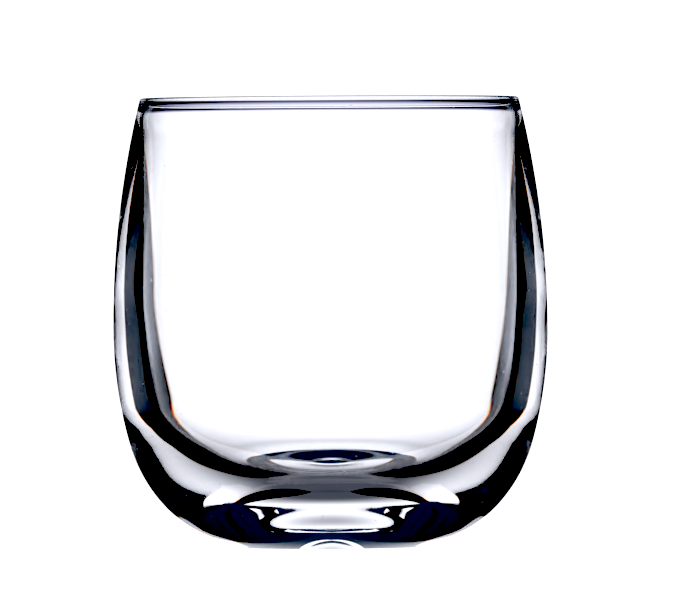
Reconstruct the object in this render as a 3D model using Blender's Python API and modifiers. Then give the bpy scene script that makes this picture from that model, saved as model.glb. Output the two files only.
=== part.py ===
"""A heavy whiskey tumbler, pressed and fire-polished in one piece of clear glass.

Units are metres, +Z is up, and the origin is the middle of the base, on the plane the glass
stands on. The whole body is one turned profile: a barrel-shaped outside, a bowl-shaped inside
with a thick rounded floor, a soft lip between them and a shallow domed recess underneath.
"""

import math

import bmesh
import bpy

# Outside. The belly is the widest ring, and the wall draws in above and below it.
HEIGHT = 0.0950
LIP_OUTER_RADIUS = 0.0403
BELLY_RADIUS = 0.0461
BELLY_HEIGHT = 0.0462
SHOULDER_ARC_RADIUS = 0.0902
SHOULDER_LEAN = math.radians(15.7)
HEEL_ARC_RADIUS = 0.0335
HEEL_LEAN = math.radians(34.2)
FOOT_ARC_RADIUS = 0.0305
FOOT_LEAN = math.radians(61.9)

# Inside. The wall stands upright between the mouth and the haunch, its widest stretch, and draws
# in above and below. Each lean is the wall's angle from upright where two arcs meet.
BOWL_RADIUS = 0.0398
MOUTH_HEIGHT = 0.0870
MOUTH_ARC_RADIUS = 0.0210
HAUNCH_HEIGHT = 0.0549
HAUNCH_ARC_RADIUS = 0.1043
HAUNCH_LEAN = math.radians(13.5)
CORNER_ARC_RADIUS = 0.0244
FLOOR_LEAN = math.radians(70.0)

# Lip and underside
LIP_ROUNDING = 0.0007
FOOT_RING_WIDTH = 0.0023
RECESS_ROUNDING = 0.0017
RECESS_DEPTH = 0.0020
RECESS_CONE_POWER = 1.17

SEGMENTS = 64
MERGE_DISTANCE = 0.00001
SMOOTH_ANGLE = math.radians(30.0)

GLASS_COLOUR = (0.93, 0.96, 0.97, 1.0)
GLASS_ROUGHNESS = 0.02
GLASS_IOR = 1.5


def clear_scene():
    for obj in list(bpy.data.objects):
        bpy.data.objects.remove(obj, do_unlink=True)


def make_collection(name):
    collection = bpy.data.collections.new(name)
    bpy.context.scene.collection.children.link(collection)
    return collection


def clear_glass():
    material = bpy.data.materials.new("clear_glass")
    material.use_nodes = True
    shader = material.node_tree.nodes["Principled BSDF"]
    shader.inputs["Base Color"].default_value = GLASS_COLOUR
    shader.inputs["Roughness"].default_value = GLASS_ROUGHNESS
    shader.inputs["Metallic"].default_value = 0.0
    shader.inputs["IOR"].default_value = GLASS_IOR
    shader.inputs["Transmission Weight"].default_value = 1.0
    return material


def leaning_arc(start, start_lean, end_lean, radius, steps):
    """Profile points after start, along an arc whose lean from upright runs between two angles.

    A growing lean leads down and in towards the axis, as the wall of a bowl does.
    """
    points = []
    for step in range(1, steps + 1):
        lean = start_lean + (end_lean - start_lean) * step / steps
        points.append(
            (
                start[0] - radius * (math.cos(start_lean) - math.cos(lean)),
                start[1] - radius * (math.sin(lean) - math.sin(start_lean)),
            )
        )
    return points


def outer_wall():
    """The outside from the lip down to the foot, as (radius, height) points."""
    belly = (BELLY_RADIUS, BELLY_HEIGHT)
    rise = HEIGHT - LIP_ROUNDING - BELLY_HEIGHT
    draw_in = BELLY_RADIUS - LIP_OUTER_RADIUS
    upper_radius = (rise**2 + draw_in**2) / (2 * draw_in)
    upper_lean = math.asin(rise / upper_radius)
    upper = leaning_arc(belly, 0.0, -upper_lean, upper_radius, 8)
    shoulder = leaning_arc(belly, 0.0, SHOULDER_LEAN, SHOULDER_ARC_RADIUS, 3)
    heel = leaning_arc(shoulder[-1], SHOULDER_LEAN, HEEL_LEAN, HEEL_ARC_RADIUS, 4)
    foot = leaning_arc(heel[-1], HEEL_LEAN, FOOT_LEAN, FOOT_ARC_RADIUS, 4)
    across, height = foot[-1]
    standing_edge = (across - height * math.tan(FOOT_LEAN), 0.0)
    return upper[::-1] + [belly] + shoulder + heel + foot + [standing_edge]


def bowl():
    """The inside from the mouth down to the axis, as (radius, height) points."""
    mouth_edge = (BOWL_RADIUS, MOUTH_HEIGHT)
    haunch_edge = (BOWL_RADIUS, HAUNCH_HEIGHT)
    mouth_lean = math.asin((HEIGHT - LIP_ROUNDING - MOUTH_HEIGHT) / MOUTH_ARC_RADIUS)
    mouth = leaning_arc(mouth_edge, 0.0, -mouth_lean, MOUTH_ARC_RADIUS, 4)
    haunch = leaning_arc(haunch_edge, 0.0, HAUNCH_LEAN, HAUNCH_ARC_RADIUS, 4)
    corner = leaning_arc(haunch[-1], HAUNCH_LEAN, FLOOR_LEAN, CORNER_ARC_RADIUS, 9)
    floor_radius = corner[-1][0] / math.cos(FLOOR_LEAN)
    floor = leaning_arc(corner[-1], FLOOR_LEAN, math.pi / 2, floor_radius, 5)
    floor[-1] = (0.0, floor[-1][1])
    return mouth[::-1] + [mouth_edge, haunch_edge] + haunch + corner + floor


def lip(inner_edge, outer_edge):
    """A half ellipse over the top of the wall, between the two edges."""
    middle = (inner_edge[0] + outer_edge[0]) / 2
    half_wall = (outer_edge[0] - inner_edge[0]) / 2
    steps = 8
    points = []
    for step in range(1, steps):
        angle = math.pi * (1 - step / steps)
        across = middle + half_wall * math.cos(angle)
        points.append((across, outer_edge[1] + LIP_ROUNDING * math.sin(angle)))
    return points


def underside(foot_radius):
    """The flat foot ring, its rounded inner edge and the domed recess, in to the axis."""
    ring_radius = foot_radius - FOOT_RING_WIDTH
    points = [(ring_radius, 0.0)]
    dome_radius = ring_radius - RECESS_ROUNDING
    edge_rise = RECESS_ROUNDING / 3
    points.append((ring_radius - RECESS_ROUNDING * 0.35, edge_rise * 0.35))
    steps = 7
    for step in range(steps + 1):
        share = 1 - step / steps
        rise = (RECESS_DEPTH - edge_rise) * (1 - share**RECESS_CONE_POWER)
        points.append((dome_radius * share, edge_rise + rise))
    return points


def turned_body(collection):
    inside = bowl()
    outside = outer_wall()
    foot_radius = outside[-1][0]
    outline = inside[::-1] + lip(inside[0], outside[0]) + outside + underside(foot_radius)

    mesh = bpy.data.meshes.new("tumbler_body")
    profile = bmesh.new()
    corners = [profile.verts.new((radius, 0.0, height)) for radius, height in outline]
    for first, second in zip(corners, corners[1:]):
        profile.edges.new((first, second))
    profile.to_mesh(mesh)
    profile.free()

    body = bpy.data.objects.new("tumbler_body", mesh)
    collection.objects.link(body)
    screw = body.modifiers.new("turn", "SCREW")
    screw.axis = "Z"
    screw.steps = SEGMENTS
    screw.render_steps = SEGMENTS
    screw.use_merge_vertices = True
    screw.merge_threshold = MERGE_DISTANCE
    return body


def freeze_turning(body):
    """Makes the turned surface real, so that its shading can be set."""
    graph = bpy.context.evaluated_depsgraph_get()
    turned = bpy.data.meshes.new_from_object(body.evaluated_get(graph))
    body.modifiers.clear()
    outline = body.data
    body.data = turned
    bpy.data.meshes.remove(outline)
    turned.name = "tumbler_body"
    turned.shade_smooth()
    turned.set_sharp_from_angle(angle=SMOOTH_ANGLE)


def main():
    clear_scene()
    collection = make_collection("whiskey_tumbler")
    body = turned_body(collection)
    freeze_turning(body)
    body.data.materials.append(clear_glass())


main()
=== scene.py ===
import math

import bmesh
import bpy
from mathutils import Matrix, Vector


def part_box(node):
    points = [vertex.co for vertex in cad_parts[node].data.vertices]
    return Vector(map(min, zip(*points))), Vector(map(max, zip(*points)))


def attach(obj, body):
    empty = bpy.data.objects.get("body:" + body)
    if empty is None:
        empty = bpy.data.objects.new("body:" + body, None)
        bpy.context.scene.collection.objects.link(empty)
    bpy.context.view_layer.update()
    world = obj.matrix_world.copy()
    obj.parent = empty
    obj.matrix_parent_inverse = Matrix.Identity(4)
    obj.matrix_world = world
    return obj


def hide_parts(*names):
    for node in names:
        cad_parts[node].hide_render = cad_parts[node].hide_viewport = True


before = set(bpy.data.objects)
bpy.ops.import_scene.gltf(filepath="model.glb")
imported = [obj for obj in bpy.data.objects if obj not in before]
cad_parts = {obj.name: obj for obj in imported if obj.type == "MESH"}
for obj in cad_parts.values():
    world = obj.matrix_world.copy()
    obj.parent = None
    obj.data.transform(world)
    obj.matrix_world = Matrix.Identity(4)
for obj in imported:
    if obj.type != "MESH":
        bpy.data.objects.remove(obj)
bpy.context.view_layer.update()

# Units are metres and +Z is up, as in the frame. The glass is one turned piece, drawn here with
# the design's own arcs and far more of them, because its refraction shows every facet.

foot_corner, lip_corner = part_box("tumbler_body")
HEIGHT = lip_corner.z - foot_corner.z
BELLY_RADIUS = (lip_corner.x - foot_corner.x) / 2

# Outside
LIP_OUTER_RADIUS = 0.0403
BELLY_HEIGHT = 0.0462
SHOULDER_ARC_RADIUS = 0.0902
SHOULDER_LEAN = math.radians(15.7)
HEEL_ARC_RADIUS = 0.0335
HEEL_LEAN = math.radians(34.2)
FOOT_ARC_RADIUS = 0.0305
FOOT_LEAN = math.radians(61.9)

# Inside
BOWL_RADIUS = 0.0398
MOUTH_HEIGHT = 0.0870
MOUTH_ARC_RADIUS = 0.0210
HAUNCH_HEIGHT = 0.0549
HAUNCH_ARC_RADIUS = 0.1043
HAUNCH_LEAN = math.radians(13.5)
CORNER_ARC_RADIUS = 0.0244
FLOOR_LEAN = math.radians(70.0)

# Lip and underside
LIP_ROUNDING = 0.0007
FOOT_RING_WIDTH = 0.0023
RECESS_ROUNDING = 0.0017
RECESS_DEPTH = 0.0020
RECESS_CONE_POWER = 1.17
RECESS_EDGE_RISE = RECESS_ROUNDING / 3
RECESS_EDGE_SHARE = 0.35

# Faint rings left by pressing, on the bowl's floor
RIPPLE_HEIGHT = 0.0002
RIPPLE_SPACING = 0.0093
RIPPLE_REACH = 0.026

# How finely the profile is drawn
TURNS = 300
UPPER_STEPS = 50
LOWER_ARC_STEPS = 24
LIP_STEPS = 20
MOUTH_STEPS = 14
HAUNCH_STEPS = 26
CORNER_STEPS = 48
FLOOR_STEPS = 44
RECESS_STEPS = 40
CENTRE_DISC = 0.00002

# The glass's surface: waviness and dust
WAVE_SCALE = 60.0
WAVE_HEIGHT = 0.00004
DUST_SCALE = 900.0
DUST_LIMIT = 0.76
DUST_SOFTNESS = 0.04
DUST_ROUGHNESS = 0.3
GLASS_IOR = 1.5

# Camera and studio
CAMERA_DISTANCE = 2.30
CAMERA_HEIGHT = 0.0720
AIM = Vector((0.0031, 0.0, 0.05055))
CAMERA_ROLL = math.radians(-0.35)
SENSOR_WIDTH = 0.036
VIEW_WIDTH = 0.1463

DOME_RADIUS = 20.0
DOME_COLUMNS = 360
DOME_ROWS = 90
FLOOR_REACH = 3.0
FLOOR_SHARE = 0.05

# The view's curve is steep: anything under the black level turns black, over the white one white.
BLACK_LEVEL = 0.10
WHITE_LEVEL = 0.82

# The bright window straight behind the glass. Angles are in degrees. Its edges lie a little apart
# in red, green and blue, which stands in for the colours that real glass splits.
WINDOW_LIGHT = (1.14, 1.15, 1.25)
WINDOW_HALF_WIDTH = (20.2, 20.1, 20.0)
WINDOW_SPREAD = (1.2, 0.5, 0.0)
WINDOW_SPREAD_HEIGHTS = (-24.0, -14.0)
WINDOW_EDGE_SOFTNESS = 0.7
WINDOW_TOP_FADE = (1.5, 5.5)
WINDOW_TOP_SPREAD = (0.0, 0.0, 0.2)
WINDOW_FLOOR_FADE = (-52.0, -14.0)

# Softer light to either side, past the black cards, and from the table, and faint glows from
# the ceiling and the cards
SIDE_LIGHT = (0.50, 0.52, 0.60)
SIDE_LIGHT_EDGES = (50.0, 62.0)
SIDE_LIGHT_HEIGHTS = (-12.0, -4.0)
TABLE_LIGHT = (0.15, 0.155, 0.175)
TABLE_FADE = (-88.0, -65.0)
CEILING_GLOW = (0.075, 0.097, 0.125)
CEILING_FADE = (8.0, 16.0)
CARD_GLOW = (0.004, 0.019, 0.032)
CARD_GLOW_EDGES = (24.0, 40.0)
CARD_GLOW_HEIGHTS = (-14.0, 12.0)

# In mirrored light the window is narrower, and nothing shines beyond the reach.
MIRRORED_HALF_WIDTH = (8.0, 8.0, 8.0)
MIRRORED_REACH = 45.0

# How softly a band of light ends, across and up and down
ACROSS_SOFTNESS = 2.0
HEIGHT_SOFTNESS = 3.0
SPREAD_SOFTNESS = 4.0


def leaning_arc(start, start_lean, end_lean, radius, steps):
    points = []
    for step in range(1, steps + 1):
        lean = start_lean + (end_lean - start_lean) * step / steps
        across = start[0] - radius * (math.cos(start_lean) - math.cos(lean))
        height = start[1] - radius * (math.sin(lean) - math.sin(start_lean))
        points.append((across, height))
    return points


def ripple(radius):
    """How far the pressed rings lift the surface at a radius, fading out at their reach."""
    fade = max(1 - (radius / RIPPLE_REACH) ** 2, 0.0)
    return RIPPLE_HEIGHT * fade * math.cos(2 * math.pi * radius / RIPPLE_SPACING)


def outer_wall():
    belly = (BELLY_RADIUS, BELLY_HEIGHT)
    rise = HEIGHT - LIP_ROUNDING - BELLY_HEIGHT
    draw_in = BELLY_RADIUS - LIP_OUTER_RADIUS
    upper_radius = (rise**2 + draw_in**2) / (2 * draw_in)
    upper_lean = math.asin(rise / upper_radius)
    upper = leaning_arc(belly, 0.0, -upper_lean, upper_radius, UPPER_STEPS)
    shoulder = leaning_arc(belly, 0.0, SHOULDER_LEAN, SHOULDER_ARC_RADIUS, LOWER_ARC_STEPS)
    heel = leaning_arc(shoulder[-1], SHOULDER_LEAN, HEEL_LEAN, HEEL_ARC_RADIUS, LOWER_ARC_STEPS)
    foot = leaning_arc(heel[-1], HEEL_LEAN, FOOT_LEAN, FOOT_ARC_RADIUS, LOWER_ARC_STEPS)
    across, height = foot[-1]
    standing_edge = (across - height * math.tan(FOOT_LEAN), 0.0)
    return upper[::-1] + [belly] + shoulder + heel + foot + [standing_edge]


def bowl():
    mouth_edge = (BOWL_RADIUS, MOUTH_HEIGHT)
    haunch_edge = (BOWL_RADIUS, HAUNCH_HEIGHT)
    mouth_lean = math.asin((HEIGHT - LIP_ROUNDING - MOUTH_HEIGHT) / MOUTH_ARC_RADIUS)
    mouth = leaning_arc(mouth_edge, 0.0, -mouth_lean, MOUTH_ARC_RADIUS, MOUTH_STEPS)
    haunch = leaning_arc(haunch_edge, 0.0, HAUNCH_LEAN, HAUNCH_ARC_RADIUS, HAUNCH_STEPS)
    corner = leaning_arc(haunch[-1], HAUNCH_LEAN, FLOOR_LEAN, CORNER_ARC_RADIUS, CORNER_STEPS)
    floor_radius = corner[-1][0] / math.cos(FLOOR_LEAN)
    floor = leaning_arc(corner[-1], FLOOR_LEAN, math.pi / 2, floor_radius, FLOOR_STEPS)
    floor[-1] = (CENTRE_DISC, floor[-1][1])
    base = [(radius, height + ripple(radius)) for radius, height in corner + floor]
    return mouth[::-1] + [mouth_edge, haunch_edge] + haunch + base


def lip(inner_edge, outer_edge):
    middle = (inner_edge[0] + outer_edge[0]) / 2
    half_wall = (outer_edge[0] - inner_edge[0]) / 2
    points = []
    for step in range(1, LIP_STEPS):
        angle = math.pi * (1 - step / LIP_STEPS)
        across = middle + half_wall * math.cos(angle)
        points.append((across, outer_edge[1] + LIP_ROUNDING * math.sin(angle)))
    return points


def underside(foot_radius):
    ring_radius = foot_radius - FOOT_RING_WIDTH
    edge_radius = ring_radius - RECESS_ROUNDING * RECESS_EDGE_SHARE
    points = [(ring_radius, 0.0), (edge_radius, RECESS_EDGE_RISE * RECESS_EDGE_SHARE)]
    dome_radius = ring_radius - RECESS_ROUNDING
    for step in range(RECESS_STEPS + 1):
        share = 1 - step / RECESS_STEPS
        rise = (RECESS_DEPTH - RECESS_EDGE_RISE) * (1 - share**RECESS_CONE_POWER)
        points.append((max(dome_radius * share, CENTRE_DISC), RECESS_EDGE_RISE + rise))
    return points


def turned_mesh(name, outline, turns):
    """Turns an outline of (radius, height) points round Z into one closed, smooth mesh."""
    body = bmesh.new()
    rings = []
    for radius, height in outline:
        ring = []
        for turn in range(turns):
            angle = 2 * math.pi * turn / turns
            ring.append(body.verts.new((radius * math.cos(angle), radius * math.sin(angle), height)))
        rings.append(ring)
    for upper, lower in zip(rings, rings[1:]):
        for turn in range(turns):
            following = (turn + 1) % turns
            body.faces.new((upper[turn], lower[turn], lower[following], upper[following]))
    body.faces.new(rings[0])
    body.faces.new(rings[-1][::-1])
    bmesh.ops.recalc_face_normals(body, faces=body.faces)
    mesh = bpy.data.meshes.new(name)
    body.to_mesh(mesh)
    body.free()
    mesh.shade_smooth()
    return mesh


def clear_glass():
    """Clear glass with a faint pressed waviness and a few specks of dust, both made by noise."""
    material = bpy.data.materials.new("clear_glass")
    material.use_nodes = True
    nodes, links = material.node_tree.nodes, material.node_tree.links
    shader = nodes["Principled BSDF"]
    shader.inputs["Base Color"].default_value = (1.0, 1.0, 1.0, 1.0)
    shader.inputs["IOR"].default_value = GLASS_IOR
    shader.inputs["Transmission Weight"].default_value = 1.0

    place = nodes.new("ShaderNodeTexCoord")
    waves = nodes.new("ShaderNodeTexNoise")
    waves.inputs["Scale"].default_value = WAVE_SCALE
    waves.inputs["Detail"].default_value = 1.0
    bump = nodes.new("ShaderNodeBump")
    bump.inputs["Distance"].default_value = WAVE_HEIGHT
    links.new(place.outputs["Object"], waves.inputs["Vector"])
    links.new(waves.outputs["Fac"], bump.inputs["Height"])
    links.new(bump.outputs["Normal"], shader.inputs["Normal"])

    dust = nodes.new("ShaderNodeTexNoise")
    dust.inputs["Scale"].default_value = DUST_SCALE
    dust.inputs["Detail"].default_value = 1.0
    speck = nodes.new("ShaderNodeMapRange")
    speck.inputs["From Min"].default_value = DUST_LIMIT
    speck.inputs["From Max"].default_value = DUST_LIMIT + DUST_SOFTNESS
    speck.inputs["To Max"].default_value = DUST_ROUGHNESS
    links.new(place.outputs["Object"], dust.inputs["Vector"])
    links.new(dust.outputs["Fac"], speck.inputs["Value"])
    links.new(speck.outputs["Result"], shader.inputs["Roughness"])
    return material


def make_glass():
    inside = bowl()
    outside = outer_wall()
    outline = inside[::-1] + lip(inside[0], outside[0]) + outside + underside(outside[-1][0])
    mesh = turned_mesh("tumbler_glass", outline, TURNS)
    glass = bpy.data.objects.new("tumbler_glass", mesh)
    bpy.context.scene.collection.objects.link(glass)
    mesh.materials.append(clear_glass())
    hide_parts("tumbler_body")
    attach(glass, "root")
    glass.visible_shadow = False
    return glass


def make_camera():
    data = bpy.data.cameras.new("camera")
    data.sensor_width = SENSOR_WIDTH * 1000
    data.lens = SENSOR_WIDTH * 1000 * CAMERA_DISTANCE / VIEW_WIDTH
    camera = bpy.data.objects.new("camera", data)
    bpy.context.scene.collection.objects.link(camera)
    camera.location = (0.0, -CAMERA_DISTANCE, CAMERA_HEIGHT)
    facing = (AIM - camera.location).to_track_quat("-Z", "Y")
    camera.rotation_mode = "QUATERNION"
    camera.rotation_quaternion = facing @ Matrix.Rotation(CAMERA_ROLL, 3, "Z").to_quaternion()
    data.clip_start = 0.1
    data.clip_end = 100.0
    bpy.context.scene.camera = camera
    return camera


def smoothstep(low, high, value):
    share = min(max((value - low) / (high - low), 0.0), 1.0)
    return share * share * (3 - 2 * share)


def band(low, high, soft, value):
    """1 between two limits, fading to 0 over a soft edge outside each."""
    return smoothstep(low - soft, low, value) * (1 - smoothstep(high, high + soft, value))


def studio_light(azimuth, elevation, half_width, channel):
    """One colour's brightness towards a direction in degrees, 0 being straight behind the glass."""
    aside = abs(azimuth)
    spread = band(*WINDOW_SPREAD_HEIGHTS, SPREAD_SOFTNESS, elevation)
    edge = half_width[channel] + WINDOW_SPREAD[channel] * spread
    across = 1 - smoothstep(edge - WINDOW_EDGE_SOFTNESS, edge + WINDOW_EDGE_SOFTNESS, aside)
    up = 1 - smoothstep(*WINDOW_TOP_FADE, elevation - WINDOW_TOP_SPREAD[channel])
    down = smoothstep(*WINDOW_FLOOR_FADE, elevation)
    table = TABLE_LIGHT[channel] * smoothstep(*TABLE_FADE, elevation)
    window = across * up * (WINDOW_LIGHT[channel] * down + table * (1 - down))
    sides = band(*SIDE_LIGHT_EDGES, ACROSS_SOFTNESS, aside)
    sides *= band(*SIDE_LIGHT_HEIGHTS, HEIGHT_SOFTNESS, elevation)
    ceiling = smoothstep(*CEILING_FADE, elevation)
    card = band(*CARD_GLOW_EDGES, ACROSS_SOFTNESS, aside)
    card *= band(*CARD_GLOW_HEIGHTS, HEIGHT_SOFTNESS, elevation)
    return (
        window
        + SIDE_LIGHT[channel] * sides
        + CEILING_GLOW[channel] * ceiling
        + CARD_GLOW[channel] * card
    )


def make_dome(name, camera, half_width, side_share):
    """A glowing sphere round the studio. It turns with the camera, as a turntable shot's lights do."""
    points = []
    lights = []
    for row in range(DOME_ROWS + 1):
        elevation = -90 + 180 * row / DOME_ROWS
        level = DOME_RADIUS * math.cos(math.radians(elevation))
        height = DOME_RADIUS * math.sin(math.radians(elevation))
        for column in range(DOME_COLUMNS):
            azimuth = -180 + 360 * column / DOME_COLUMNS
            turn = math.radians(azimuth)
            points.append((level * math.sin(turn), height, -level * math.cos(turn) - CAMERA_DISTANCE))
            share = side_share if abs(azimuth) > MIRRORED_REACH else 1.0
            light = [share * studio_light(azimuth, elevation, half_width, c) for c in range(3)]
            lights.extend((*light, 1.0))
    faces = []
    for row in range(DOME_ROWS):
        for column in range(DOME_COLUMNS):
            following = (column + 1) % DOME_COLUMNS
            low, high = row * DOME_COLUMNS, (row + 1) * DOME_COLUMNS
            faces.append((low + column, low + following, high + following, high + column))
    mesh = bpy.data.meshes.new(name)
    mesh.from_pydata(points, [], faces)
    mesh.color_attributes.new("light", "FLOAT_COLOR", "POINT").data.foreach_set("color", lights)
    material = bpy.data.materials.new(name)
    material.use_nodes = True
    nodes, links = material.node_tree.nodes, material.node_tree.links
    nodes.clear()
    reader = nodes.new("ShaderNodeAttribute")
    reader.attribute_name = "light"
    glow = nodes.new("ShaderNodeEmission")
    output = nodes.new("ShaderNodeOutputMaterial")
    links.new(reader.outputs["Color"], glow.inputs["Color"])
    links.new(glow.outputs["Emission"], output.inputs["Surface"])
    mesh.materials.append(material)
    obj = bpy.data.objects.new(name, mesh)
    bpy.context.scene.collection.objects.link(obj)
    obj.parent = camera
    obj.visible_camera = False
    obj.visible_diffuse = False
    obj.visible_shadow = False
    return obj


def make_floor():
    """A white sweep that only the camera sees, bright by itself. The glass casts no shadow on it."""
    mesh = bpy.data.meshes.new("floor")
    reach = FLOOR_REACH
    corners = [(-reach, -reach, 0.0), (reach, -reach, 0.0), (reach, reach, 0.0), (-reach, reach, 0.0)]
    mesh.from_pydata(corners, [], [(0, 1, 2, 3)])
    material = bpy.data.materials.new("floor_white")
    material.use_nodes = True
    shader = material.node_tree.nodes["Principled BSDF"]
    shader.inputs["Base Color"].default_value = (FLOOR_SHARE, FLOOR_SHARE, FLOOR_SHARE, 1.0)
    shader.inputs["Roughness"].default_value = 1.0
    shader.inputs["Specular IOR Level"].default_value = 0.0
    shader.inputs["Emission Color"].default_value = (1.0, 1.0, 1.0, 1.0)
    shader.inputs["Emission Strength"].default_value = 1.0 - FLOOR_SHARE
    mesh.materials.append(material)
    floor = bpy.data.objects.new("floor", mesh)
    bpy.context.scene.collection.objects.link(floor)
    floor.visible_transmission = False
    floor.visible_glossy = False
    floor.visible_diffuse = False
    floor.visible_shadow = False
    return floor


def make_world():
    world = bpy.data.worlds.new("studio")
    world.use_nodes = True
    bpy.context.scene.world = world
    background = world.node_tree.nodes["Background"]
    background.inputs["Color"].default_value = (1.0, 1.0, 1.0, 1.0)
    background.inputs["Strength"].default_value = 1.0


def main():
    make_glass()
    camera = make_camera()
    through = make_dome("light_seen_through", camera, WINDOW_HALF_WIDTH, 1.0)
    through.visible_glossy = False
    mirrored = make_dome("light_mirrored", camera, MIRRORED_HALF_WIDTH, 0.0)
    mirrored.visible_transmission = False
    make_floor()
    make_world()
    scene = bpy.context.scene
    view = scene.view_settings
    view.view_transform = "Standard"
    view.use_curve_mapping = True
    view.curve_mapping.black_level = (BLACK_LEVEL, BLACK_LEVEL, BLACK_LEVEL)
    view.curve_mapping.white_level = (WHITE_LEVEL, WHITE_LEVEL, WHITE_LEVEL)
    scene.cycles.max_bounces = 40
    scene.cycles.glossy_bounces = 32
    scene.cycles.transmission_bounces = 32


main()
